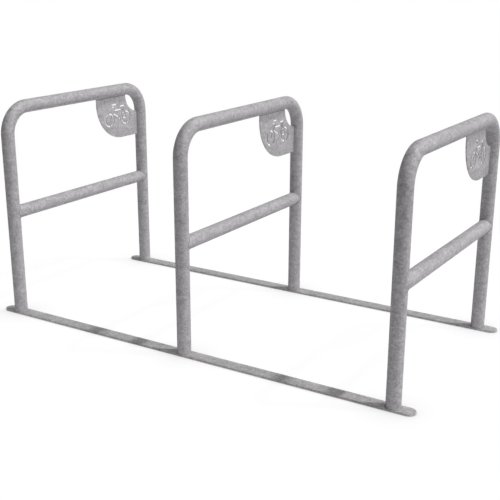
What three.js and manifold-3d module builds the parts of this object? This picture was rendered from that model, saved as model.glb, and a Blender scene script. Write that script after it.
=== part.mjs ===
// A floor-standing cycle rack of hot-dip galvanised steel: three bent-tube hoops stand in a row, welded
// on two flat rails. Each hoop has a crossbar at half its height and, in its rear upper corner, a plate
// with a bicycle cut through it as a stencil. Every joint is welded, and nothing on the rack moves.
//
// Millimetres. +X runs along the rails, +Y towards the rear rail and the plates, +Z up. The origin is on
// the ground in the middle of the rack.

import * as THREE from "three";
import { mergeVertices } from "three/addons/utils/BufferGeometryUtils.js";
import Module from "manifold-3d";

const wasm = await Module();
wasm.setup();

// Driving dimensions of the hoops.
const hoopCount = 3;
const hoopSpacing = 800; // from hoop to hoop along the rails
const hoopWidth = 800; // between the centrelines of a hoop's two legs
const hoopRise = 800; // from the rails' top face to the top bar's centreline
const crossbarRise = 400; // from the rails' top face to the crossbar's centreline
const tubeDiameter = 50;
const tubeWall = 2.5;
const bendRadius = 102; // of the tube's centreline

// Driving dimensions of the rails.
const railWidth = 48;
const railThickness = 8;
const railOverhang = 75; // past the centreline of the outer hoops' legs

// Driving dimensions of the stencil plates.
const plateThickness = 4;
const plateReach = 266; // from the leg's inner side
const plateDrop = 180; // from the top bar's underside
const plateCornerShare = 0.89; // of the drop, for the radius of the free corner
const plateRootGap = 1; // between the plate's edge and the tube, filled by the weld

// Driving dimensions of the bicycle that is cut through the plates.
const stencilSlot = 5.5; // width of every cut
const stencilBridge = 3; // steel left between two cuts
const wheelbaseShare = 0.406; // of the plate's reach, from hub to hub
const wheelRadiusShare = 0.245; // of the wheelbase, to the middle of the rim's cut
const stencilReachShare = 0.49; // of the plate's reach, from the leg to halfway between the hubs
const stencilDropShare = 0.54; // of the plate's drop, from the top bar to the hubs
const crankHoleDiameter = 9;
const handlebarHookRadius = 5.2; // to the middle of the cut

// Places on the bicycle, which faces -x. They count from halfway between the hubs, along in shares of
// half the wheelbase and up in shares of the wheels' radius.
const topTubeHeightShare = 1.44;
const frameTopHeightShare = 1.66; // of the seat tube's and the steerer's upper ends
const saddleHeightShare = 1.99;
const handlebarHeightShare = 2.38;
const bicycleShares = {
  frontHub: [-1, 0],
  rearHub: [1, 0],
  crank: [0.23, -0.05],
  steererTop: [-0.46, frameTopHeightShare],
  seatTubeTop: [0.63, frameTopHeightShare],
  seatCluster: [0.58, topTubeHeightShare],
  topTubeFront: [-0.34, topTubeHeightShare],
  topTubeRear: [0.4, topTubeHeightShare],
  downTubeFront: [-0.455, 0.9],
  downTubeRear: [0.075, 0.31],
  saddleFront: [0.36, saddleHeightShare],
  saddleRear: [0.85, saddleHeightShare],
  handlebarRear: [-0.14, handlebarHeightShare],
  hookTop: [-0.55, handlebarHeightShare],
  hookEnd: [-0.44, handlebarHeightShare], // as far along as the hook's lower end
};

// Driving dimensions of the welds, and of the holes that let zinc in and out of the tubes.
const legWeld = 4; // leg length of the fillet round a leg's foot, along the rail
const legWeldAtEdge = 1.5; // the same where the tube stands flush with the rail's edge
const legWeldCrownShare = 0.58; // of the fillet's leg length, out and up
const crossbarWeld = 3.5;
const crossbarWeldCrown = 0.9; // how far the bead swells past a flat fillet
const plateWeld = 3;
const plateWeldInset = 4; // from each end of the plate's edge
const railVentDiameter = 14; // under each leg
const legVentDiameter = 12; // in the leg's wall, inside each end of the crossbar

// Clearance between two pieces that fit together, and how far a cut runs past what it cuts.
const fitGap = 0.3;
const overrun = 5;

// Numbers of facets, and how far a facet of a flat outline may lie inside its true arc.
const tubeSides = 24;
const bendSteps = 8;
const weldSteps = 32;
const ventSides = 16;
const facetDepth = 0.2;

// Places that follow from the sizes.
const tubeRadius = tubeDiameter / 2;
const railTop = railThickness;
const topBarHeight = railTop + hoopRise;
const crossbarHeight = railTop + crossbarRise;
const legOffset = hoopWidth / 2;
const legInnerSide = legOffset - tubeRadius;
const topBarUnderside = topBarHeight - tubeRadius;
const bendInnerRadius = bendRadius - tubeRadius;
const firstHoop = (-hoopSpacing * (hoopCount - 1)) / 2;
const railEnd = railOverhang - firstHoop;
const wheelbase = wheelbaseShare * plateReach;
const wheelRadius = wheelRadiusShare * wheelbase;
const legSides = [
  { name: "front", sign: -1 },
  { name: "rear", sign: 1 },
];

const tubeMaterial = new THREE.MeshStandardMaterial({
  name: "galvanised_tube",
  color: 0xa3a2a5,
  roughness: 0.55,
  metalness: 0.55,
});
const railMaterial = new THREE.MeshStandardMaterial({
  name: "galvanised_flat_bar",
  color: 0xa0a0a2,
  roughness: 0.6,
  metalness: 0.5,
});
const plateMaterial = new THREE.MeshStandardMaterial({
  name: "galvanised_plate",
  color: 0x9f9ea1,
  roughness: 0.5,
  metalness: 0.55,
});
const weldMaterial = new THREE.MeshStandardMaterial({
  name: "galvanised_weld",
  color: 0x989799,
  roughness: 0.65,
  metalness: 0.5,
});

// A closed geometry as a manifold-3d solid.
function solidOf(geometry) {
  const bare = geometry.clone();
  bare.deleteAttribute("normal");
  bare.deleteAttribute("uv");
  const merged = mergeVertices(bare);
  return new wasm.Manifold(
    new wasm.Mesh({
      numProp: 3,
      vertProperties: merged.attributes.position.array,
      triVerts: new Uint32Array(merged.index.array),
    }),
  );
}

// A manifold-3d solid as a geometry.
function geometryOf(solid) {
  const mesh = solid.getMesh();
  const geometry = new THREE.BufferGeometry();
  geometry.setAttribute("position", new THREE.BufferAttribute(mesh.vertProperties, mesh.numProp));
  geometry.setIndex(new THREE.BufferAttribute(mesh.triVerts, 1));
  geometry.computeVertexNormals();
  return geometry;
}

// A closed skin over loops of points: each loop is joined to the next and the last to the first.
function ringSkin(loops) {
  const perLoop = loops[0].length;
  const indices = [];
  for (let i = 0; i < loops.length; i++) {
    const here = i * perLoop;
    const next = ((i + 1) % loops.length) * perLoop;
    for (let j = 0; j < perLoop; j++) {
      const k = (j + 1) % perLoop;
      indices.push(here + j, next + j, next + k, here + j, next + k, here + k);
    }
  }
  const geometry = new THREE.BufferGeometry().setFromPoints(loops.flat());
  geometry.setIndex(indices);
  geometry.computeVertexNormals();
  return geometry;
}

// Points along an arc in a flat outline, clockwise where the second angle is the smaller. The number of
// steps is even, so that the middle of the arc is one of the points.
function arcPoints(x, y, radius, from, to) {
  const steps = 2 * Math.ceil(Math.abs(to - from) / (4 * Math.acos(1 - facetDepth / radius)));
  const points = [];
  for (let i = 0; i <= steps; i++) {
    const angle = from + ((to - from) * i) / steps;
    points.push(new THREE.Vector2(x + radius * Math.cos(angle), y + radius * Math.sin(angle)));
  }
  return points;
}

function extruded(points, depth, holes = []) {
  const shape = new THREE.Shape(points);
  shape.holes = holes.map((hole) => new THREE.Path(hole));
  return new THREE.ExtrudeGeometry(shape, { depth, bevelEnabled: false });
}

// A circle of points in the plane of X and the given direction, round a point on a tube's centreline.
function tubeSection(centre, across, radius) {
  const points = [];
  for (let i = 0; i < tubeSides; i++) {
    const angle = (2 * Math.PI * i) / tubeSides;
    const point = new THREE.Vector3(radius * Math.cos(angle), 0, 0);
    points.push(point.add(centre).addScaledVector(across, radius * Math.sin(angle)));
  }
  return points;
}

// A hollow tube through stations of a centreline that lies in a plane of constant X. The skin runs
// along the outside, turns in at the far end, comes back along the bore and closes at the near end.
function hollowTube(stations) {
  const outside = stations.map((s) => tubeSection(s.centre, s.across, tubeRadius));
  const bore = stations.map((s) => tubeSection(s.centre, s.across, tubeRadius - tubeWall));
  return ringSkin([...outside, ...bore.reverse()]);
}

// A place on a tube's centreline. The turn is 0 where the tube runs up, and grows towards the rear.
function station(y, z, turn) {
  return {
    centre: new THREE.Vector3(0, y, z),
    across: new THREE.Vector3(0, -Math.cos(turn), Math.sin(turn)),
  };
}

// Up the front leg, round a bend, along the top bar, round a bend and down the rear leg.
function hoopStations() {
  const stations = [station(-legOffset, railTop, 0)];
  for (const side of legSides) {
    const bendY = side.sign * (legOffset - bendRadius);
    const bendZ = topBarHeight - bendRadius;
    const firstTurn = side.sign < 0 ? 0 : Math.PI / 2;
    for (let i = 0; i <= bendSteps; i++) {
      const turn = firstTurn + ((Math.PI / 2) * i) / bendSteps;
      stations.push(station(bendY - bendRadius * Math.cos(turn), bendZ + bendRadius * Math.sin(turn), turn));
    }
  }
  stations.push(station(legOffset, railTop, Math.PI));
  return stations;
}

// One bent tube, with a vent hole through each leg's inner wall behind the crossbar's end.
function hoopGeometry() {
  let solid = solidOf(hollowTube(hoopStations()));
  for (const side of legSides) {
    const depth = tubeRadius + overrun;
    const cutter = new THREE.CylinderGeometry(legVentDiameter / 2, legVentDiameter / 2, depth, ventSides);
    cutter.translate(0, side.sign * (legOffset - depth / 2), crossbarHeight);
    solid = solid.subtract(solidOf(cutter));
  }
  return geometryOf(solid);
}

// A straight tube between the legs' centrelines, with both ends coped to sit round the legs.
function crossbarGeometry() {
  const ends = [-legOffset, legOffset].map((y) => station(y, crossbarHeight, Math.PI / 2));
  let solid = solidOf(hollowTube(ends));
  const copeSides = 2 * tubeSides;
  const copeRadius = (tubeRadius + fitGap) / Math.cos(Math.PI / copeSides);
  const copeHeight = tubeDiameter + 2 * overrun;
  for (const side of legSides) {
    const cope = new THREE.CylinderGeometry(copeRadius, copeRadius, copeHeight, copeSides);
    cope.rotateX(Math.PI / 2);
    cope.translate(0, side.sign * legOffset, crossbarHeight);
    solid = solid.subtract(solidOf(cope));
  }
  return geometryOf(solid);
}

// A flat bar with full-round ends and a vent hole under each leg.
function railGeometry() {
  const end = railWidth / 2;
  const outline = [
    ...arcPoints(railEnd - end, 0, end, -Math.PI / 2, Math.PI / 2),
    ...arcPoints(end - railEnd, 0, end, Math.PI / 2, (3 * Math.PI) / 2),
  ];
  const vents = [];
  for (let i = 0; i < hoopCount; i++) {
    const vent = arcPoints(firstHoop + i * hoopSpacing, 0, railVentDiameter / 2, 0, 2 * Math.PI);
    vents.push(vent.slice(0, -1));
  }
  return extruded(outline, railThickness, vents);
}

// The outline of a straight cut with round ends, whose centrelines' ends are a and b.
function straightCut(a, b) {
  const half = stencilSlot / 2;
  const along = b.clone().sub(a).angle();
  return [
    ...arcPoints(b.x, b.y, half, along - Math.PI / 2, along + Math.PI / 2),
    ...arcPoints(a.x, a.y, half, along + Math.PI / 2, along + (3 * Math.PI) / 2),
  ];
}

// The outline of a cut along a wheel's rim, with round ends that stay between the two angles.
function rimCut(hub, startAngle, endAngle) {
  const half = stencilSlot / 2;
  const from = startAngle + half / wheelRadius;
  const to = endAngle - half / wheelRadius;
  const endOf = (angle) => [hub.x + wheelRadius * Math.cos(angle), hub.y + wheelRadius * Math.sin(angle)];
  return [
    ...arcPoints(hub.x, hub.y, wheelRadius + half, from, to),
    ...arcPoints(...endOf(to), half, to, to + Math.PI),
    ...arcPoints(hub.x, hub.y, wheelRadius - half, to, from),
    ...arcPoints(...endOf(from), half, from + Math.PI, from + 2 * Math.PI),
  ];
}

// The outline of the handlebar's cut: a straight bar that hooks down and back at its front end.
function handlebarCut(barEnd, hookEnd, hookX) {
  const half = stencilSlot / 2;
  const middle = (barEnd.y + hookEnd.y) / 2;
  return [
    ...arcPoints(barEnd.x, barEnd.y, half, -Math.PI / 2, Math.PI / 2),
    ...arcPoints(hookX, middle, handlebarHookRadius + half, Math.PI / 2, (3 * Math.PI) / 2),
    ...arcPoints(hookEnd.x, hookEnd.y, half, -Math.PI / 2, Math.PI / 2),
    ...arcPoints(hookX, middle, handlebarHookRadius - half, (3 * Math.PI) / 2, Math.PI / 2),
  ];
}

// The outlines of the bicycle's cuts. The origin is halfway between the hubs.
function bicycleCuts() {
  const at = {};
  for (const [name, [xShare, yShare]] of Object.entries(bicycleShares)) {
    at[name] = new THREE.Vector2((xShare * wheelbase) / 2, yShare * wheelRadius);
  }
  const { frontHub, rearHub, crank, steererTop, seatTubeTop, seatCluster } = at;
  const hookEnd = at.hookEnd.clone().sub(new THREE.Vector2(0, 2 * handlebarHookRadius));

  // The point at a distance from one place towards another.
  const towards = (from, to, distance) => {
    const step = to.clone().sub(from).setLength(distance);
    return from.clone().add(step);
  };
  const clearance = stencilSlot + stencilBridge; // between the middles of two cuts
  const outsideRim = wheelRadius + clearance;
  const insideRim = wheelRadius - clearance;
  const crankClear = (crankHoleDiameter + stencilSlot) / 2 + stencilBridge;
  const bridgeHalfAngle = stencilBridge / 2 / wheelRadius;
  const bridgeAngle = (5 * Math.PI) / 9; // of each rim's upper bridge, and the lower one is opposite

  const rims = [frontHub, rearHub].flatMap((hub) =>
    [bridgeAngle, bridgeAngle + Math.PI].map((start) =>
      rimCut(hub, start + bridgeHalfAngle, start + Math.PI - bridgeHalfAngle),
    ),
  );
  return [
    ...rims,
    arcPoints(crank.x, crank.y, crankHoleDiameter / 2, 0, 2 * Math.PI).slice(0, -1),
    straightCut(frontHub, towards(frontHub, steererTop, insideRim)), // fork
    straightCut(towards(frontHub, steererTop, outsideRim), steererTop), // head tube
    straightCut(at.downTubeFront, at.downTubeRear),
    straightCut(at.topTubeFront, at.topTubeRear),
    straightCut(towards(crank, seatTubeTop, crankClear), seatTubeTop), // seat tube
    straightCut(towards(rearHub, seatCluster, outsideRim), towards(seatCluster, rearHub, clearance)),
    straightCut(towards(rearHub, seatCluster, insideRim), towards(rearHub, seatCluster, clearance)),
    straightCut(towards(rearHub, crank, insideRim), rearHub), // chain stay
    straightCut(at.saddleFront, at.saddleRear),
    handlebarCut(at.handlebarRear, hookEnd, at.hookTop.x),
  ];
}

// The stencil plate, drawn as seen from +X with the leg on its right, and then stood up in the hoop.
function plateGeometry() {
  const left = legInnerSide - plateReach;
  const right = legInnerSide - plateRootGap;
  const bottom = topBarUnderside - plateDrop;
  const top = topBarUnderside - plateRootGap;
  const corner = plateCornerShare * plateDrop;
  const rootTurn = Math.asin(plateRootGap / bendInnerRadius); // the bite starts past the root gap
  const outline = [
    new THREE.Vector2(left, top),
    ...arcPoints(left + corner, bottom + corner, corner, Math.PI, (3 * Math.PI) / 2),
    new THREE.Vector2(right, bottom),
    ...arcPoints(
      legInnerSide,
      topBarUnderside,
      bendInnerRadius,
      (3 * Math.PI) / 2 - rootTurn,
      Math.PI + rootTurn,
    ),
  ];
  let solid = solidOf(extruded(outline, plateThickness));
  for (const cut of bicycleCuts()) {
    const cutter = extruded(cut, plateThickness + 2 * overrun);
    cutter.translate(
      legInnerSide - stencilReachShare * plateReach,
      topBarUnderside - stencilDropShare * plateDrop,
      -overrun,
    );
    solid = solid.subtract(solidOf(cutter));
  }
  const geometry = geometryOf(solid);
  geometry.translate(0, 0, -plateThickness / 2);
  geometry.rotateX(Math.PI / 2); // the outline's second axis turns up
  geometry.rotateZ(Math.PI / 2); // and its first one to the rear
  return geometry;
}

// The fillet round a leg's foot, full size along the rail and slim where the tube is flush with its edge.
function legWeldGeometry() {
  const inner = tubeRadius + fitGap;
  const loops = [];
  for (let i = 0; i < weldSteps; i++) {
    const angle = (2 * Math.PI * i) / weldSteps;
    const size = legWeldAtEdge + (legWeld - legWeldAtEdge) * Math.cos(angle) ** 2;
    const crown = legWeldCrownShare * size;
    const at = (out, up) =>
      new THREE.Vector3((inner + out) * Math.cos(angle), (inner + out) * Math.sin(angle), railTop + up);
    loops.push([at(0, 0), at(size, 0), at(crown, crown), at(0, size)]);
  }
  return ringSkin(loops);
}

// The bead where a crossbar's rear end meets a leg, whose axis is the origin here. It follows the line
// in which two equal tubes cross.
function crossbarWeldGeometry() {
  const reach = tubeRadius + fitGap;
  const onLeg = (turn, up) => new THREE.Vector3(reach * Math.sin(turn), -reach * Math.cos(turn), up);
  const loops = [];
  for (let i = 0; i < weldSteps; i++) {
    const angle = (-2 * Math.PI * i) / weldSteps; // round the crossbar
    const c = Math.cos(angle);
    const s = Math.sin(angle);
    const turn = Math.asin(c); // round the leg, from the crossbar's side
    const root = onLeg(turn, reach * s);
    const barToe = root.clone().add(new THREE.Vector3(0, -crossbarWeld, 0));
    const legToe = onLeg(turn + (crossbarWeld * c) / reach, (reach + crossbarWeld) * s);
    const outward = new THREE.Vector3(2 * c, -Math.abs(s), s).normalize();
    const crown = barToe.clone().lerp(legToe, 1 / 2).addScaledVector(outward, crossbarWeldCrown);
    loops.push([root, barToe, crown, legToe]);
  }
  return ringSkin(loops);
}

// The weld that joins a plate's edge to a tube: a fillet on each face and the root between them. It runs
// up from the origin along the tube's axis, with the plate on the -Y side.
function plateWeldGeometry(length) {
  const reach = tubeRadius + fitGap;
  const face = plateThickness / 2 + fitGap;
  const toe = face + plateWeld;
  const toeY = -Math.sqrt(reach ** 2 - toe ** 2);
  const rootY = fitGap - tubeRadius - plateRootGap;
  const outline = [
    [-toe, toeY],
    [-face, -reach - plateWeld],
    [-face, rootY],
    [face, rootY],
    [face, -reach - plateWeld],
    [toe, toeY],
    [0, -reach],
  ];
  return extruded(
    outline.map(([x, y]) => new THREE.Vector2(x, y)),
    length,
  );
}

function namedMesh(name, geometry, material) {
  const mesh = new THREE.Mesh(geometry, material);
  mesh.name = name;
  return mesh;
}

// The weld along a plate's top edge, and the one along its side.
function plateWelds(number) {
  const topLength = plateReach - bendInnerRadius - 2 * plateWeldInset;
  const top = namedMesh(`plate_top_weld_${number}`, plateWeldGeometry(topLength), weldMaterial);
  top.rotation.x = Math.PI / 2; // its plate side turns down, and its length to the front
  top.position.set(0, legInnerSide - bendInnerRadius - plateWeldInset, topBarHeight);

  const sideLength = plateDrop - bendInnerRadius - 2 * plateWeldInset;
  const side = namedMesh(`plate_side_weld_${number}`, plateWeldGeometry(sideLength), weldMaterial);
  side.position.set(0, legOffset, topBarUnderside - plateDrop + plateWeldInset);
  return [top, side];
}

// The welds round one leg's foot and where the crossbar meets that leg.
function legWelds(side, number) {
  const foot = namedMesh(`${side.name}_leg_weld_${number}`, legWeldGeometry(), weldMaterial);
  foot.position.y = side.sign * legOffset;

  const bead = namedMesh(`${side.name}_crossbar_weld_${number}`, crossbarWeldGeometry(), weldMaterial);
  bead.position.set(0, side.sign * legOffset, crossbarHeight);
  bead.rotation.z = side.sign < 0 ? Math.PI : 0;
  return [foot, bead];
}

// The pieces of one hoop, in a group that stands at the hoop's place along the rails.
function hoopAssembly(number) {
  const group = new THREE.Group();
  group.add(namedMesh(`hoop_${number}`, hoopGeometry(), tubeMaterial));
  group.add(namedMesh(`crossbar_${number}`, crossbarGeometry(), tubeMaterial));
  group.add(namedMesh(`stencil_plate_${number}`, plateGeometry(), plateMaterial));
  for (const side of legSides) group.add(...legWelds(side, number));
  group.add(...plateWelds(number));
  group.position.x = firstHoop + (number - 1) * hoopSpacing;
  return group;
}

const rack = new THREE.Group();
for (const side of legSides) {
  const rail = namedMesh(`${side.name}_rail`, railGeometry(), railMaterial);
  rail.position.y = side.sign * legOffset;
  rack.add(rail);
}
for (let number = 1; number <= hoopCount; number++) rack.add(hoopAssembly(number));

export default rack;
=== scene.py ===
"""A three-hoop cycle rack of hot-dip galvanised steel, dressed and lit as in a product picture.

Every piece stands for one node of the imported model. The rails, hoops, crossbars and plates take
their places and outer sizes from the nodes' boxes, and the weld beads run where those pieces meet.
Lengths are in metres.
"""
import math

import bmesh
import bpy
from mathutils import Euler, Matrix, Vector


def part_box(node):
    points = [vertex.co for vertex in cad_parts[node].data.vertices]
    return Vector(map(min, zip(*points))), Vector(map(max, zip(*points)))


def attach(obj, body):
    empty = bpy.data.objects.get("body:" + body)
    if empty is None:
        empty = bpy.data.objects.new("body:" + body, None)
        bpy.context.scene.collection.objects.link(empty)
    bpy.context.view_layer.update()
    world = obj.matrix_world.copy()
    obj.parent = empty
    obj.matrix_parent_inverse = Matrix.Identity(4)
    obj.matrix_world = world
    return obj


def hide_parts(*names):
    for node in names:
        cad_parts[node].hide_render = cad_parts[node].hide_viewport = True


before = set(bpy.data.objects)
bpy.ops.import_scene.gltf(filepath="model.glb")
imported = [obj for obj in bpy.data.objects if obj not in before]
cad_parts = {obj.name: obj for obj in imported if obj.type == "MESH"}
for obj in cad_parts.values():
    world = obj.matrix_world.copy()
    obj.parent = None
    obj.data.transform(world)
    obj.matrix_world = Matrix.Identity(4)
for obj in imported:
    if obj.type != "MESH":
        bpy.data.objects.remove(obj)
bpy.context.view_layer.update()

# Sizes that the nodes' boxes don't give.
TUBE_WALL = 0.0025
BEND_RADIUS = 0.102
RAIL_VENT_RADIUS = 0.007
RAIL_EDGE = 0.0005  # how far the flat bars' edges are rounded
PLATE_EDGE = 0.00025
PLATE_CORNER_SHARE = 0.89  # of the plate's drop, for the radius of its free corner

# The bicycle that is cut through the plates.
SLOT = 0.0055  # width of every cut
BRIDGE = 0.003  # steel left between two cuts
WHEELBASE_SHARE = 0.406  # of the plate's reach
WHEEL_SHARE = 0.245  # of the wheelbase, for the radius to the middle of the rim's cut
STENCIL_REACH_SHARE = 0.49  # of the plate's reach, from the leg to halfway between the hubs
STENCIL_DROP_SHARE = 0.54  # of the plate's drop, from the top bar to the hubs
CRANK_HOLE_RADIUS = 0.0045
HANDLEBAR_HOOK = 0.0052  # radius to the middle of the cut
RIM_BRIDGE_ANGLE = math.radians(100)  # of each rim's upper bridge, opposite its lower one

# Places on the bicycle, which faces -x. They count from halfway between the hubs, along in shares
# of half the wheelbase and up in shares of the wheels' radius.
TOP_TUBE_HEIGHT_SHARE = 1.44
FRAME_TOP_HEIGHT_SHARE = 1.66  # of the seat tube's and the steerer's upper ends
SADDLE_HEIGHT_SHARE = 1.99
HANDLEBAR_HEIGHT_SHARE = 2.38
BICYCLE_SHARES = {
    "front_hub": (-1, 0),
    "rear_hub": (1, 0),
    "crank": (0.23, -0.05),
    "steerer_top": (-0.46, FRAME_TOP_HEIGHT_SHARE),
    "seat_tube_top": (0.63, FRAME_TOP_HEIGHT_SHARE),
    "seat_cluster": (0.58, TOP_TUBE_HEIGHT_SHARE),
    "top_tube_front": (-0.34, TOP_TUBE_HEIGHT_SHARE),
    "top_tube_rear": (0.4, TOP_TUBE_HEIGHT_SHARE),
    "down_tube_front": (-0.455, 0.9),
    "down_tube_rear": (0.075, 0.31),
    "saddle_front": (0.36, SADDLE_HEIGHT_SHARE),
    "saddle_rear": (0.85, SADDLE_HEIGHT_SHARE),
    "handlebar_rear": (-0.14, HANDLEBAR_HEIGHT_SHARE),
    "hook_top": (-0.55, HANDLEBAR_HEIGHT_SHARE),
    "hook_end": (-0.44, HANDLEBAR_HEIGHT_SHARE),  # as far along as the hook's lower end
}

# Weld beads.
LEG_WELD = 0.004  # leg length of the fillet round a leg's foot, along the rail
LEG_WELD_AT_EDGE = 0.0015  # the same where the tube is flush with the rail's edge
LEG_WELD_CROWN_SHARE = 0.12  # of the bead's leg length
CROSSBAR_WELD = 0.0035
CROSSBAR_WELD_CROWN = 0.0009
PLATE_WELD = 0.003
PLATE_WELD_CROWN_SHARE = 0.2  # of the bead's leg length
PLATE_WELD_INSET = 0.004  # from each end of the plate's edge
WELD_SINK = 0.0004  # how far a bead's root lies inside the steel
RIPPLE_PITCH = 0.0026
RIPPLE_DEPTH = 0.00022
RIPPLE_BOW = 0.0011  # how far a ripple's middle trails its ends
END_SWELL = 1.5  # ripples in which a plate's bead swells from nothing to its full size
END_START = 0.3  # ripples of that swell that its blunt ends leave out

# Fineness of the meshes.
TUBE_SIDES = 72
BEND_STEPS = 28
BEAD_STEPS = 8  # across a bead
STEPS_PER_RIPPLE = 5
EDGE_STEPS = 2
DISC_SIDES = 96
ARC_DEPTH = 0.00002  # between a chord and its arc in a flat outline
MERGE_DISTANCE = 1e-7  # within which two points become one
SHARP_ANGLE = math.radians(35)

# The zinc's shine and relief.
METALLIC = 0.21
REFRACTIVE_INDEX = 1.5
SHINE_TINT = (0.285, 0.285, 0.285, 1)  # dulls the shine
ROUGHNESS_SPREAD = 0.12  # to each side of a finish's roughness
RELIEF_STRENGTH = 0.35
RELIEF_HEIGHT = 0.0003

# The zinc's pattern. Its lengths are in widths of a large crystal.
CRYSTAL_SOFTNESS = 0.5
SMALL_PER_LARGE = 3  # small crystals across a large one
GRAINS_PER_LARGE = 9
GRAIN_DETAIL = 2.0
BAND_LENGTH = 5  # of a level band, which is as high as one large crystal
BAND_DETAIL = 4.0
BAND_SWIRL = 0.3
WARP_LENGTH = 2  # of the waves that bend the crystals' borders
WARP_REACH = 0.6  # how far they bend them
WARP_DETAIL = 2.0

# What the large crystals, the small ones, the bands and the grain each add to the zinc's tone,
# roughness and relief. The grain adds nothing to the roughness.
TONE_WEIGHTS = (0.16, 0.34, 0.33, 0.17)
ROUGHNESS_WEIGHTS = (0.4, 0.2, 0.4)
RELIEF_WEIGHTS = (0.3, 0.2, 0.8, 0.5)

# The finish of each slot. Its tone runs from a dark to a light grey, both in its tint.
ZINC_TINT = (1.032, 1.0, 1.042)
ROLLED_STEEL_TINT = (1.027, 1.0, 1.015)
FINISHES = {
    "galvanised_tube": {
        "dark": 0.183,
        "light": 0.721,
        "roughness": 0.62,
        "crystal_size": 0.013,
        "tint": ZINC_TINT,
    },
    "galvanised_flat_bar": {
        "dark": 0.204,
        "light": 0.764,
        "roughness": 0.56,
        "crystal_size": 0.014,
        "tint": ROLLED_STEEL_TINT,
    },
    "galvanised_plate": {
        "dark": 0.171,
        "light": 0.77,
        "roughness": 0.5,
        "crystal_size": 0.013,
        "tint": ZINC_TINT,
    },
    # The welds get a darker tone than the tubes as painted shade. It stands for the shade in the
    # corners where the plates and crossbars meet the tubes, and keeps the beads round the feet
    # from looking lit. Their crystal pattern is the zinc's own.
    "galvanised_weld": {
        "dark": 0.166,
        "light": 0.46,
        "roughness": 0.62,
        "crystal_size": 0.006,
        "tint": ZINC_TINT,
    },
}

# The floor, the surroundings and the light.
WHITE = (1, 1, 1, 1)
FLOOR_RADIUS = 40
FLOOR_GREY = 0.1
FLOOR_WHITE_SHARE = 1.0  # of the white glow in what the camera sees of it
MAT_RADIUS = 1.73
MAT_THICKNESS = 0.001
MAT_GREY = 0.95
MAT_WHITE_SHARE = 0.91
MAT_WHITE = 1.06  # with the mat's own shade added, this shows as white
PAINTED_SHADE_REACH = 0.2  # how far from the rack the painted soft shade on the mat goes
# how much the painted shade dims the mat's white glow where it is darkest
PAINTED_SHADE_DEPTH = 0.65
SURROUND_STRENGTH = 0.052
KEY_DIRECTION = Vector((0.5, 0.25, 1.0))
KEY_STRENGTH = 1.37
KEY_ANGLE = math.radians(2.5)
FILL_DIRECTION = Vector((1.0, 0.185, 0.2))
FILL_STRENGTH = 2.16
FILL_ANGLE = math.radians(115)

# The camera. Its angles are in degrees.
LENS = 66.271  # in millimetres
LENS_SHIFT_X = 0.01832
LENS_SHIFT_Y = 0.02789
CAMERA_PLACE = (1.78312, -2.84579, 1.31669)
CAMERA_DIP = 17.953  # below level
CAMERA_ROLL = 0.032
CAMERA_HEADING = 32.271  # from +Y towards -X


def middle(node):
    """The middle of a node's box."""
    low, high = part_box(node)
    return (low + high) / 2


# Sizes from the nodes' boxes. The three hoops are alike.
HOOP_COUNT = sum(name.startswith("hoop_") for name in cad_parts)
HOOP_NUMBERS = range(1, HOOP_COUNT + 1)

hoop_low, hoop_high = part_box("hoop_1")
TUBE_RADIUS = (hoop_high.x - hoop_low.x) / 2
RAIL_TOP = hoop_low.z
LEG_OFFSET = hoop_high.y - TUBE_RADIUS
TOP_BAR_HEIGHT = hoop_high.z - TUBE_RADIUS
CROSSBAR_HEIGHT = middle("crossbar_1").z
LEG_INNER_SIDE = LEG_OFFSET - TUBE_RADIUS
TOP_BAR_UNDERSIDE = TOP_BAR_HEIGHT - TUBE_RADIUS
BEND_INNER_RADIUS = BEND_RADIUS - TUBE_RADIUS

plate_low, plate_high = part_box("stencil_plate_1")
PLATE_ROOT_GAP = TOP_BAR_UNDERSIDE - plate_high.z
PLATE_THICKNESS = plate_high.x - plate_low.x
PLATE_REACH = LEG_INNER_SIDE - plate_low.y
PLATE_DROP = TOP_BAR_UNDERSIDE - plate_low.z
WHEELBASE = WHEELBASE_SHARE * PLATE_REACH
WHEEL_RADIUS = WHEEL_SHARE * WHEELBASE

# Turns of a piece from the way that it is built.
NO_TURN = Matrix.Identity(4)
TURNED_ROUND = Matrix.Rotation(math.pi, 4, "Z")
LAID_FORWARD = Matrix.Rotation(math.pi / 2, 4, "X")  # its length to the front, its plate side down


# The zinc.
def add_node(tree, kind, **settings):
    """Adds a shader node. A setting goes to the socket of its name, or else to the node itself."""
    node = tree.nodes.new(kind)
    for name, value in settings.items():
        socket = node.inputs.get(name.replace("_", " ").title())
        if socket is None:
            setattr(node, name, value)
        else:
            socket.default_value = value
    return node


def weighted_sum(tree, terms):
    """The sum of several outputs, each times its weight."""
    total = None
    for output, weight in terms:
        step = add_node(tree, "ShaderNodeMath", operation="MULTIPLY_ADD")
        tree.links.new(output, step.inputs[0])
        step.inputs[1].default_value = weight
        step.inputs[2].default_value = 0
        if total is not None:
            tree.links.new(total, step.inputs[2])
        total = step.outputs[0]
    return total


def tinted(grey, tint):
    """A grey's colour in a tint."""
    return (*(grey * share for share in tint), 1)


def noise(tree, place, size, detail, distortion=0.0):
    """Cloudy noise with blots of a size."""
    node = add_node(
        tree,
        "ShaderNodeTexNoise",
        scale=1 / size,
        detail=detail,
        distortion=distortion,
    )
    tree.links.new(place, node.inputs["Vector"])
    return node.outputs


def crystals(tree, place, size):
    """Crystals with soft borders. Each has a value of its own in each of the three channels."""
    node = add_node(
        tree,
        "ShaderNodeTexVoronoi",
        feature="SMOOTH_F1",
        scale=1 / size,
        smoothness=CRYSTAL_SOFTNESS,
    )
    tree.links.new(place, node.inputs["Vector"])
    channels = add_node(tree, "ShaderNodeSeparateColor")
    tree.links.new(node.outputs["Color"], channels.inputs[0])
    return channels.outputs


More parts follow.
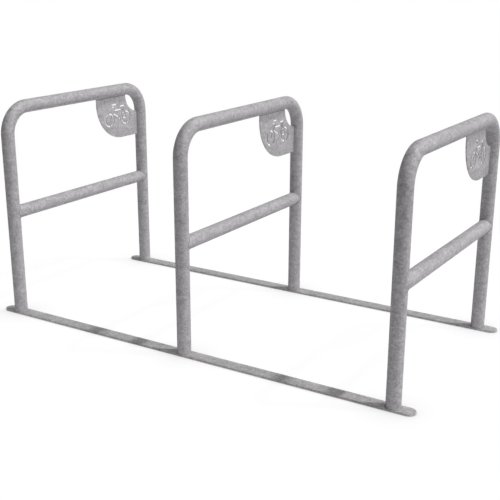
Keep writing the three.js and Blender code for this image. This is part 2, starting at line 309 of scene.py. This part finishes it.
def zinc_pattern(tree, crystal_size):
    """The zinc's large and small crystals, its level bands from the bath, and its fine grain."""
    place = add_node(tree, "ShaderNodeTexCoord").outputs["Object"]
    level = add_node(tree, "ShaderNodeVectorMath", operation="MULTIPLY")
    tree.links.new(place, level.inputs[0])
    level.inputs[1].default_value = (1, 1, BAND_LENGTH)

    waves = noise(tree, place, WARP_LENGTH * crystal_size, WARP_DETAIL)
    warp = add_node(tree, "ShaderNodeVectorMath", operation="MULTIPLY_ADD")
    tree.links.new(waves["Color"], warp.inputs[0])
    warp.inputs[1].default_value = (WARP_REACH * crystal_size,) * 3
    tree.links.new(place, warp.inputs[2])

    large = crystals(tree, warp.outputs[0], crystal_size)
    small = crystals(tree, warp.outputs[0], crystal_size / SMALL_PER_LARGE)
    bands = noise(tree, level.outputs[0], BAND_LENGTH * crystal_size, BAND_DETAIL, BAND_SWIRL)
    grain = noise(tree, place, crystal_size / GRAINS_PER_LARGE, GRAIN_DETAIL)
    return large, small, bands["Fac"], grain["Fac"]


def galvanised(name, dark, light, roughness, crystal_size, tint):
    """Zinc on steel, whose tone, roughness and relief follow one pattern."""
    material = bpy.data.materials.new(name)
    material.use_nodes = True
    tree = material.node_tree
    shader = tree.nodes["Principled BSDF"]
    shader.inputs["Metallic"].default_value = METALLIC
    shader.inputs["IOR"].default_value = REFRACTIVE_INDEX
    shader.inputs["Specular Tint"].default_value = SHINE_TINT
    large, small, bands, grain = zinc_pattern(tree, crystal_size)

    def blended(channel, weights):
        """The pattern as one value. The crystals' channels make its three uses differ."""
        return weighted_sum(tree, zip((large[channel], small[channel], bands, grain), weights))

    tone = add_node(tree, "ShaderNodeMix", data_type="RGBA")
    tone.inputs["A"].default_value = tinted(dark, tint)
    tone.inputs["B"].default_value = tinted(light, tint)
    tree.links.new(blended("Red", TONE_WEIGHTS), tone.inputs["Factor"])
    tree.links.new(tone.outputs["Result"], shader.inputs["Base Color"])

    smoothest = roughness - ROUGHNESS_SPREAD
    roughest = roughness + ROUGHNESS_SPREAD
    gloss = add_node(tree, "ShaderNodeMapRange", to_min=smoothest, to_max=roughest)
    tree.links.new(blended("Green", ROUGHNESS_WEIGHTS), gloss.inputs["Value"])
    tree.links.new(gloss.outputs["Result"], shader.inputs["Roughness"])

    bump = add_node(tree, "ShaderNodeBump", strength=RELIEF_STRENGTH, distance=RELIEF_HEIGHT)
    tree.links.new(blended("Blue", RELIEF_WEIGHTS), bump.inputs["Height"])
    tree.links.new(bump.outputs["Normal"], shader.inputs["Normal"])
    return material


materials = {slot: galvanised(slot, **finish) for slot, finish in FINISHES.items()}


# Meshes and pieces.
def add_piece(node, mesh, slot):
    """Shows a finished mesh in the place of a node."""
    for polygon in mesh.polygons:
        polygon.use_smooth = True
    mesh.set_sharp_from_angle(angle=SHARP_ANGLE)
    mesh.materials.clear()
    mesh.materials.append(materials[slot])
    piece = bpy.data.objects.new(f"{node}_steel", mesh)
    bpy.context.scene.collection.objects.link(piece)
    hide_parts(node)
    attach(piece, "root")


def face_outwards(mesh):
    """Merges a mesh's doubled points and turns its faces out."""
    work = bmesh.new()
    work.from_mesh(mesh)
    bmesh.ops.remove_doubles(work, verts=work.verts, dist=MERGE_DISTANCE)
    bmesh.ops.recalc_face_normals(work, faces=work.faces)
    work.to_mesh(mesh)
    work.free()


def skin(name, loops, closed=True):
    """A mesh over loops of points. An open row of loops gets a cap at each end."""
    count = len(loops[0])
    faces = []
    for i in range(len(loops) if closed else len(loops) - 1):
        here = i * count
        ahead = (i + 1) % len(loops) * count
        for j in range(count):
            k = (j + 1) % count
            faces.append((here + j, ahead + j, ahead + k, here + k))
    if not closed:
        faces.append(tuple(range(count)))
        faces.append(tuple(range((len(loops) - 1) * count, len(loops) * count)))
    mesh = bpy.data.meshes.new(name)
    mesh.from_pydata([point for loop in loops for point in loop], [], faces)
    face_outwards(mesh)
    return mesh


def joined(name, meshes):
    """One mesh that holds several."""
    work = bmesh.new()
    for mesh in meshes:
        work.from_mesh(mesh)
        bpy.data.meshes.remove(mesh)
    result = bpy.data.meshes.new(name)
    work.to_mesh(result)
    work.free()
    return result


# Tubes.
def ring_angles():
    return [2 * math.pi * i / TUBE_SIDES for i in range(TUBE_SIDES)]


def out_of_hoop(turn):
    """The direction out of a hoop in its plane, from the front leg at 0 to the rear leg at pi."""
    return Vector((0, -math.cos(turn), math.sin(turn)))


def hoop_stations():
    """Places along a hoop's centreline, each with the direction out of the hoop."""
    stations = [(Vector((0, -LEG_OFFSET, RAIL_TOP)), out_of_hoop(0))]
    bend_z = TOP_BAR_HEIGHT - BEND_RADIUS
    for side, first_turn in ((-1, 0), (1, math.pi / 2)):
        bend_centre = Vector((0, side * (LEG_OFFSET - BEND_RADIUS), bend_z))
        for i in range(BEND_STEPS + 1):
            outward = out_of_hoop(first_turn + math.pi / 2 * i / BEND_STEPS)
            stations.append((bend_centre + outward * BEND_RADIUS, outward))
    stations.append((Vector((0, LEG_OFFSET, RAIL_TOP)), out_of_hoop(math.pi)))
    return stations


def hoop_mesh(name):
    """A bent tube: up the front leg, along the top bar and down the rear leg."""

    def ring(radius, centre, outward):
        points = []
        for angle in ring_angles():
            along_rails = Vector((radius * math.cos(angle), 0, 0))
            points.append(centre + along_rails + outward * radius * math.sin(angle))
        return points

    outside = [ring(TUBE_RADIUS, *station) for station in hoop_stations()]
    bore = [ring(TUBE_RADIUS - TUBE_WALL, *station) for station in hoop_stations()]
    return skin(name, outside + bore[::-1])


def crossbar_mesh(name):
    """A straight tube whose ends are coped to sit round the legs."""

    def ring(radius, side):
        points = []
        for angle in ring_angles():
            x = radius * math.cos(angle)
            cope = math.sqrt(max(TUBE_RADIUS**2 - x**2, 0))
            y = side * (LEG_OFFSET - cope)
            points.append(Vector((x, y, CROSSBAR_HEIGHT + radius * math.sin(angle))))
        return points

    bore = TUBE_RADIUS - TUBE_WALL
    return skin(name, [ring(TUBE_RADIUS, -1), ring(TUBE_RADIUS, 1), ring(bore, 1), ring(bore, -1)])


# Flat bars and plates.
def arc_points(x, y, radius, start, end):
    """Points along an arc, clockwise where it ends at a smaller angle. One is at its middle."""
    step_limit = 2 * math.acos(1 - ARC_DEPTH / radius)
    steps = 2 * math.ceil(abs(end - start) / (2 * step_limit))
    angles = [start + (end - start) * i / steps for i in range(steps + 1)]
    return [Vector((x + radius * math.cos(a), y + radius * math.sin(a))) for a in angles]


def circle_points(centre, radius):
    return arc_points(centre.x, centre.y, radius, 0, 2 * math.pi)[:-1]


def flat_mesh(name, outline, holes, thickness, edge):
    """Flat steel with rounded edges, half above and half below 0, with its outline and holes."""
    curve = bpy.data.curves.new(name, "CURVE")
    curve.dimensions = "2D"
    curve.fill_mode = "BOTH"
    curve.extrude = thickness / 2 - edge
    curve.bevel_depth = edge
    curve.bevel_resolution = EDGE_STEPS
    curve.offset = -edge
    for points in [outline] + [hole[::-1] for hole in holes]:
        spline = curve.splines.new("POLY")
        spline.points.add(len(points) - 1)
        for target, point in zip(spline.points, points):
            target.co = (point.x, point.y, 0, 1)
        spline.use_cyclic_u = True
    holder = bpy.data.objects.new(name, curve)
    mesh = bpy.data.meshes.new_from_object(holder)
    bpy.data.objects.remove(holder)
    bpy.data.curves.remove(curve)
    face_outwards(mesh)
    return mesh


def rail_mesh(node):
    """A flat bar with full-round ends and a vent hole under each leg."""
    low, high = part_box(node)
    centre = middle(node)
    end = (high.y - low.y) / 2
    reach = (high.x - low.x) / 2 - end
    outline = arc_points(reach, 0, end, -math.pi / 2, math.pi / 2)
    outline += arc_points(-reach, 0, end, math.pi / 2, 3 * math.pi / 2)
    legs = [middle(f"hoop_{number}").x - centre.x for number in HOOP_NUMBERS]
    vents = [circle_points(Vector((x, 0)), RAIL_VENT_RADIUS) for x in legs]
    mesh = flat_mesh(node, outline, vents, high.z - low.z, RAIL_EDGE)
    mesh.transform(Matrix.Translation(centre))
    return mesh


def straight_cut(a, b):
    """A slot with round ends between two points."""
    half = SLOT / 2
    along = math.atan2(b.y - a.y, b.x - a.x)
    near_end = arc_points(a.x, a.y, half, along + math.pi / 2, along + 3 * math.pi / 2)
    return arc_points(b.x, b.y, half, along - math.pi / 2, along + math.pi / 2) + near_end


def rim_cut(hub, start_angle, end_angle):
    """A slot along a wheel's rim, with round ends that stay between the two angles."""
    half = SLOT / 2
    start = start_angle + half / WHEEL_RADIUS
    end = end_angle - half / WHEEL_RADIUS

    def on_rim(angle):
        return hub.x + WHEEL_RADIUS * math.cos(angle), hub.y + WHEEL_RADIUS * math.sin(angle)

    return (
        arc_points(hub.x, hub.y, WHEEL_RADIUS + half, start, end)
        + arc_points(*on_rim(end), half, end, end + math.pi)
        + arc_points(hub.x, hub.y, WHEEL_RADIUS - half, end, start)
        + arc_points(*on_rim(start), half, start + math.pi, start + 2 * math.pi)
    )


def handlebar_cut(bar_end, hook_end, hook_x):
    """A straight slot that hooks down and back at its front end."""
    half = SLOT / 2
    centre_y = (bar_end.y + hook_end.y) / 2
    front, back = 3 * math.pi / 2, math.pi / 2
    return (
        arc_points(bar_end.x, bar_end.y, half, -math.pi / 2, math.pi / 2)
        + arc_points(hook_x, centre_y, HANDLEBAR_HOOK + half, back, front)
        + arc_points(hook_end.x, hook_end.y, half, -math.pi / 2, math.pi / 2)
        + arc_points(hook_x, centre_y, HANDLEBAR_HOOK - half, front, back)
    )


def bicycle_cuts():
    """The outlines of the bicycle's slots. The origin is halfway between its hubs."""
    at = {
        name: Vector((x_share * WHEELBASE / 2, y_share * WHEEL_RADIUS))
        for name, (x_share, y_share) in BICYCLE_SHARES.items()
    }
    front_hub, rear_hub, crank = at["front_hub"], at["rear_hub"], at["crank"]
    steerer_top, seat_cluster = at["steerer_top"], at["seat_cluster"]
    hook_end = at["hook_end"] - Vector((0, 2 * HANDLEBAR_HOOK))

    def towards(a, b, distance):
        return a + (b - a).normalized() * distance

    clearance = SLOT + BRIDGE  # between the middles of two cuts
    outside_rim = WHEEL_RADIUS + clearance
    inside_rim = WHEEL_RADIUS - clearance
    crank_clear = CRANK_HOLE_RADIUS + SLOT / 2 + BRIDGE
    bridge_half_angle = BRIDGE / 2 / WHEEL_RADIUS

    rims = []
    for hub in (front_hub, rear_hub):
        for bridge in (RIM_BRIDGE_ANGLE, RIM_BRIDGE_ANGLE + math.pi):
            start = bridge + bridge_half_angle
            end = bridge + math.pi - bridge_half_angle
            rims.append(rim_cut(hub, start, end))
    fork = straight_cut(front_hub, towards(front_hub, steerer_top, inside_rim))
    head_tube = straight_cut(towards(front_hub, steerer_top, outside_rim), steerer_top)
    down_tube = straight_cut(at["down_tube_front"], at["down_tube_rear"])
    top_tube = straight_cut(at["top_tube_front"], at["top_tube_rear"])
    seat_tube_foot = towards(crank, at["seat_tube_top"], crank_clear)
    seat_tube = straight_cut(seat_tube_foot, at["seat_tube_top"])
    outer_stay = straight_cut(
        towards(rear_hub, seat_cluster, outside_rim), towards(seat_cluster, rear_hub, clearance)
    )
    inner_stay = straight_cut(
        towards(rear_hub, seat_cluster, inside_rim), towards(rear_hub, seat_cluster, clearance)
    )
    chain_stay = straight_cut(towards(rear_hub, crank, inside_rim), rear_hub)
    saddle = straight_cut(at["saddle_front"], at["saddle_rear"])
    handlebar = handlebar_cut(at["handlebar_rear"], hook_end, at["hook_top"].x)
    crank_hole = circle_points(crank, CRANK_HOLE_RADIUS)
    tubes = [fork, head_tube, down_tube, top_tube, seat_tube, outer_stay, inner_stay, chain_stay]
    return rims + tubes + [saddle, handlebar, crank_hole]


def plate_mesh(name):
    """The stencil plate, drawn as seen from +X with the leg on its right, and then stood up."""
    left = LEG_INNER_SIDE - PLATE_REACH
    right = LEG_INNER_SIDE - PLATE_ROOT_GAP
    bottom = TOP_BAR_UNDERSIDE - PLATE_DROP
    top = TOP_BAR_UNDERSIDE - PLATE_ROOT_GAP
    corner = PLATE_CORNER_SHARE * PLATE_DROP
    root_turn = math.asin(PLATE_ROOT_GAP / BEND_INNER_RADIUS)
    bite_start = 3 * math.pi / 2 - root_turn
    bite_end = math.pi + root_turn
    outline = (
        [Vector((left, top))]
        + arc_points(left + corner, bottom + corner, corner, math.pi, 3 * math.pi / 2)
        + [Vector((right, bottom))]
        + arc_points(LEG_INNER_SIDE, TOP_BAR_UNDERSIDE, BEND_INNER_RADIUS, bite_start, bite_end)
    )
    origin = Vector((
        LEG_INNER_SIDE - STENCIL_REACH_SHARE * PLATE_REACH,
        TOP_BAR_UNDERSIDE - STENCIL_DROP_SHARE * PLATE_DROP,
    ))
    holes = [[origin + point for point in cut] for cut in bicycle_cuts()]
    mesh = flat_mesh(name, outline, holes, PLATE_THICKNESS, PLATE_EDGE)
    stand_up = Matrix.Rotation(math.pi / 2, 4, "X")
    face_x = Matrix.Rotation(math.pi / 2, 4, "Z")
    mesh.transform(face_x @ stand_up)
    return mesh


# Weld beads.
def bead_loop(root, first_toe, second_toe, outward, crown, along):
    """A bead's section at a distance along it. Each ripple bows back in the middle of the bead."""
    loop = [root - outward * WELD_SINK]
    for i in range(BEAD_STEPS + 1):
        share = i / BEAD_STEPS
        hump = 4 * share * (1 - share)  # 0 at both toes and 1 halfway
        phase = (along + RIPPLE_BOW * hump) / RIPPLE_PITCH % 1
        groove = RIPPLE_DEPTH * hump * (2 * phase - 1) ** 2  # deepest where two ripples meet
        loop.append(first_toe.lerp(second_toe, share) + outward * (crown * hump - groove))
    return loop


def bead_steps(length):
    """Steps along a bead of that length, with a whole number of ripples."""
    return STEPS_PER_RIPPLE * round(length / RIPPLE_PITCH)


def leg_weld_mesh(name):
    """The fillet round a leg's foot, slim where the tube is flush with the rail's edge."""
    steps = bead_steps(2 * math.pi * (TUBE_RADIUS + LEG_WELD / 2))
    loops = []
    for i in range(steps):
        angle = 2 * math.pi * i / steps
        size = LEG_WELD_AT_EDGE + (LEG_WELD - LEG_WELD_AT_EDGE) * math.cos(angle) ** 2
        radial = Vector((math.cos(angle), math.sin(angle), 0))
        root = radial * TUBE_RADIUS + Vector((0, 0, RAIL_TOP))
        toes = (root + radial * size, root + Vector((0, 0, size)))
        outward = (radial + Vector((0, 0, 1))).normalized()
        along = RIPPLE_PITCH * i / STEPS_PER_RIPPLE
        loops.append(bead_loop(root, *toes, outward, LEG_WELD_CROWN_SHARE * size, along))
    return skin(name, loops)


def crossbar_weld_mesh(name):
    """The bead where a crossbar's rear end meets a leg, round the leg's axis as the origin."""

    def on_leg(turn, up):
        return Vector((TUBE_RADIUS * math.sin(turn), -TUBE_RADIUS * math.cos(turn), up))

    # Two equal tubes cross along two half ellipses, together as long as a whole one.
    long_radius = math.sqrt(2) * TUBE_RADIUS
    steps = bead_steps(2 * math.pi * math.sqrt((TUBE_RADIUS**2 + long_radius**2) / 2))
    loops = []
    for i in range(steps):
        angle = -2 * math.pi * i / steps  # round the crossbar
        c = math.cos(angle)
        s = math.sin(angle)
        turn = math.asin(c)  # round the leg, from the crossbar's side
        root = on_leg(turn, TUBE_RADIUS * s)
        bar_toe = root + Vector((0, -CROSSBAR_WELD, 0))
        leg_toe = on_leg(turn + CROSSBAR_WELD * c / TUBE_RADIUS, (TUBE_RADIUS + CROSSBAR_WELD) * s)
        outward = Vector((2 * c, -abs(s), s)).normalized()  # between the two tubes' normals
        along = RIPPLE_PITCH * i / STEPS_PER_RIPPLE
        loops.append(bead_loop(root, bar_toe, leg_toe, outward, CROSSBAR_WELD_CROWN, along))
    return skin(name, loops)


def plate_weld_mesh(name, length):
    """The beads on a plate edge's two faces, which run up from the origin with the plate on -Y."""
    steps = bead_steps(length)
    face = PLATE_THICKNESS / 2
    toe = face + PLATE_WELD
    beads = []
    for side in (-1, 1):
        outward = Vector((side, -1, 0)).normalized()
        loops = []
        for i in range(steps + 1):
            up = Vector((0, 0, length * i / steps))
            from_end = min(i, steps - i) / STEPS_PER_RIPPLE
            size = math.sqrt(min(1, (from_end + END_START) / END_SWELL))
            root = Vector((side * face, -math.sqrt(TUBE_RADIUS**2 - face**2), 0)) + up
            plate_toe = Vector((side * face, -TUBE_RADIUS - PLATE_WELD, 0)) + up
            tube_toe = Vector((side * toe, -math.sqrt(TUBE_RADIUS**2 - toe**2), 0)) + up
            toes = (root.lerp(plate_toe, size), root.lerp(tube_toe, size))
            crown = PLATE_WELD_CROWN_SHARE * PLATE_WELD * size
            along = RIPPLE_PITCH * i / STEPS_PER_RIPPLE
            loops.append(bead_loop(root, *toes, outward, crown, along))
        beads.append(skin(name, loops, closed=False))
    return joined(name, beads)


# The rack.
def build_hoop(number):
    """The pieces of one hoop."""
    x = middle(f"hoop_{number}").x

    def add(node, slot, build, *sizes, y=0, z=0, turn=NO_TURN):
        """Builds a piece at the origin, turns it and moves it to its place."""
        mesh = build(node, *sizes)
        mesh.transform(Matrix.Translation((x, y, z)) @ turn)
        add_piece(node, mesh, slot)

    add(f"hoop_{number}", "galvanised_tube", hoop_mesh)
    add(f"crossbar_{number}", "galvanised_tube", crossbar_mesh)
    add(f"stencil_plate_{number}", "galvanised_plate", plate_mesh)

    for side, leg_y, turn in (("front", -LEG_OFFSET, TURNED_ROUND), ("rear", LEG_OFFSET, NO_TURN)):
        foot = f"{side}_leg_weld_{number}"
        add(foot, "galvanised_weld", leg_weld_mesh, y=leg_y)
        bead = f"{side}_crossbar_weld_{number}"
        add(bead, "galvanised_weld", crossbar_weld_mesh, y=leg_y, z=CROSSBAR_HEIGHT, turn=turn)

    top = f"plate_top_weld_{number}"
    length = PLATE_REACH - BEND_INNER_RADIUS - 2 * PLATE_WELD_INSET
    y = LEG_INNER_SIDE - BEND_INNER_RADIUS - PLATE_WELD_INSET
    turn = LAID_FORWARD
    add(top, "galvanised_weld", plate_weld_mesh, length, y=y, z=TOP_BAR_HEIGHT, turn=turn)

    side = f"plate_side_weld_{number}"
    length = PLATE_DROP - BEND_INNER_RADIUS - 2 * PLATE_WELD_INSET
    z = TOP_BAR_UNDERSIDE - PLATE_DROP + PLATE_WELD_INSET
    add(side, "galvanised_weld", plate_weld_mesh, length, y=LEG_OFFSET, z=z)


for node in ("front_rail", "rear_rail"):
    add_piece(node, rail_mesh(node), "galvanised_flat_bar")
for number in HOOP_NUMBERS:
    build_hoop(number)


# The stage.
def seen_directly(tree):
    """1 for what the camera sees, straight or in a reflection or through something clear."""
    path = add_node(tree, "ShaderNodeLightPath")
    total = None
    for ray in ("Is Camera Ray", "Is Glossy Ray", "Is Transmission Ray"):
        if total is None:
            total = path.outputs[ray]
            continue
        step = add_node(tree, "ShaderNodeMath", operation="MAXIMUM")
        tree.links.new(total, step.inputs[0])
        tree.links.new(path.outputs[ray], step.inputs[1])
        total = step.outputs[0]
    return total


def add_disc(name, radius, height, material):
    """A level disc that belongs to the stage."""
    work = bmesh.new()
    bmesh.ops.create_circle(work, cap_ends=True, segments=DISC_SIDES, radius=radius)
    mesh = bpy.data.meshes.new(name)
    work.to_mesh(mesh)
    work.free()
    mesh.materials.append(material)
    disc = bpy.data.objects.new(name, mesh)
    disc.location.z = height
    bpy.context.scene.collection.objects.link(disc)


def floor_material(name, grey, white_share):
    """A floor that shows as white, and sends light back as its own grey. Returns its glow too."""
    material = bpy.data.materials.new(name)
    material.use_nodes = True
    tree = material.node_tree
    tree.nodes.clear()
    output = add_node(tree, "ShaderNodeOutputMaterial")
    blend = add_node(tree, "ShaderNodeMixShader")
    share = add_node(tree, "ShaderNodeMath", operation="MULTIPLY")
    tree.links.new(seen_directly(tree), share.inputs[0])
    share.inputs[1].default_value = white_share
    tree.links.new(share.outputs[0], blend.inputs[0])
    matt = add_node(tree, "ShaderNodeBsdfDiffuse", color=(grey, grey, grey, 1))
    tree.links.new(matt.outputs[0], blend.inputs[1])
    glow = add_node(tree, "ShaderNodeEmission", color=WHITE)
    tree.links.new(glow.outputs[0], blend.inputs[2])
    tree.links.new(blend.outputs[0], output.inputs["Surface"])
    return material, glow


def paint_contact_shade(material, glow):
    """Paints soft shade onto a floor by dimming its glow beside what stands on it."""
    tree = material.node_tree
    occlusion = add_node(tree, "ShaderNodeAmbientOcclusion", distance=PAINTED_SHADE_REACH)
    darkest = MAT_WHITE * (1 - PAINTED_SHADE_DEPTH)
    strength = add_node(tree, "ShaderNodeMapRange", to_min=darkest, to_max=MAT_WHITE)
    tree.links.new(occlusion.outputs["AO"], strength.inputs["Value"])
    tree.links.new(strength.outputs["Result"], glow.inputs["Strength"])


def build_floor():
    """A pale mat under the rack on a darker studio floor. Both show as white, and the mat has
    painted shade beside the rack.
    """
    floor, _ = floor_material("studio_floor", FLOOR_GREY, FLOOR_WHITE_SHARE)
    add_disc("studio_floor", FLOOR_RADIUS, -MAT_THICKNESS, floor)
    mat, glow = floor_material("mat", MAT_GREY, MAT_WHITE_SHARE)
    paint_contact_shade(mat, glow)
    add_disc("mat", MAT_RADIUS, 0, mat)


def build_world():
    """Surroundings that show as white, in reflections too, and light matt surfaces only weakly."""
    world = bpy.data.worlds.new("studio")
    world.use_nodes = True
    tree = world.node_tree
    tree.nodes.clear()
    output = add_node(tree, "ShaderNodeOutputWorld")
    blend = add_node(tree, "ShaderNodeMixShader")
    tree.links.new(seen_directly(tree), blend.inputs[0])
    room = add_node(tree, "ShaderNodeBackground", color=WHITE, strength=SURROUND_STRENGTH)
    tree.links.new(room.outputs[0], blend.inputs[1])
    backdrop = add_node(tree, "ShaderNodeBackground", color=WHITE)
    tree.links.new(backdrop.outputs[0], blend.inputs[2])
    tree.links.new(blend.outputs[0], output.inputs["Surface"])
    bpy.context.scene.world = world


def add_sun(name, direction, strength, angle):
    """A far lamp that shines from a direction."""
    light = bpy.data.lights.new(name, "SUN")
    light.energy = strength
    light.angle = angle
    lamp = bpy.data.objects.new(name, light)
    lamp.rotation_euler = direction.to_track_quat("Z", "Y").to_euler()
    bpy.context.scene.collection.objects.link(lamp)


def build_camera():
    data = bpy.data.cameras.new("camera")
    data.lens = LENS
    data.shift_x = LENS_SHIFT_X
    data.shift_y = LENS_SHIFT_Y
    camera = bpy.data.objects.new("camera", data)
    camera.location = CAMERA_PLACE
    angles = (90 - CAMERA_DIP, CAMERA_ROLL, CAMERA_HEADING)
    camera.rotation_euler = Euler([math.radians(angle) for angle in angles])
    bpy.context.scene.collection.objects.link(camera)
    bpy.context.scene.camera = camera


build_floor()
build_world()
add_sun("key", KEY_DIRECTION, KEY_STRENGTH, KEY_ANGLE)
add_sun("fill", FILL_DIRECTION, FILL_STRENGTH, FILL_ANGLE)
build_camera()
bpy.context.scene.view_settings.view_transform = "Standard"
